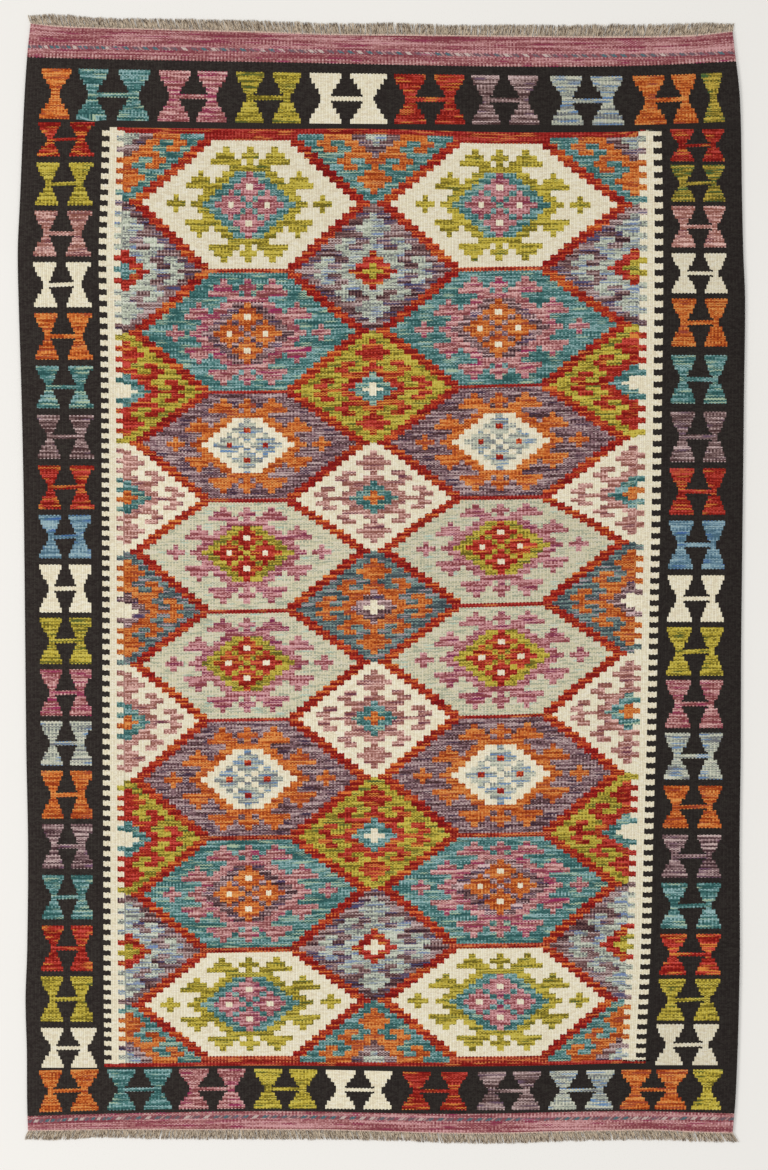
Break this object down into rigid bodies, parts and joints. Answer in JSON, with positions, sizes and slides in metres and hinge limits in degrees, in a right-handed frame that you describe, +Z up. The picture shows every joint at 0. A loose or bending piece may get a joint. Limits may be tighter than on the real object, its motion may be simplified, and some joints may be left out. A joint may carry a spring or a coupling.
{
  "type": "kilim rug",
  "caption": "Flat-woven wool kilim rug with a geometric slit-tapestry pattern and short fringed ends, laid flat as a floor covering.",
  "frame": {"origin": "under the middle of the rug's whole box, on the surface it lies on", "axes": "+X across the rug to the right, +Y along its length towards the top fringe, +Z up out of its face"},
  "size_m": [1.5559, 2.4186, 0.003],
  "materials": {
    "wool_weave": "tight ribbed flat weave of dyed wool, many colours",
    "warp_fringe": "undyed grey-beige wool warp ends, cut short"
  },
  "bodies": {
    "root": {"kilim_cloth": "wool_weave", "fringe_top": "warp_fringe", "fringe_bottom": "warp_fringe"}
  },
  "joints": []
}
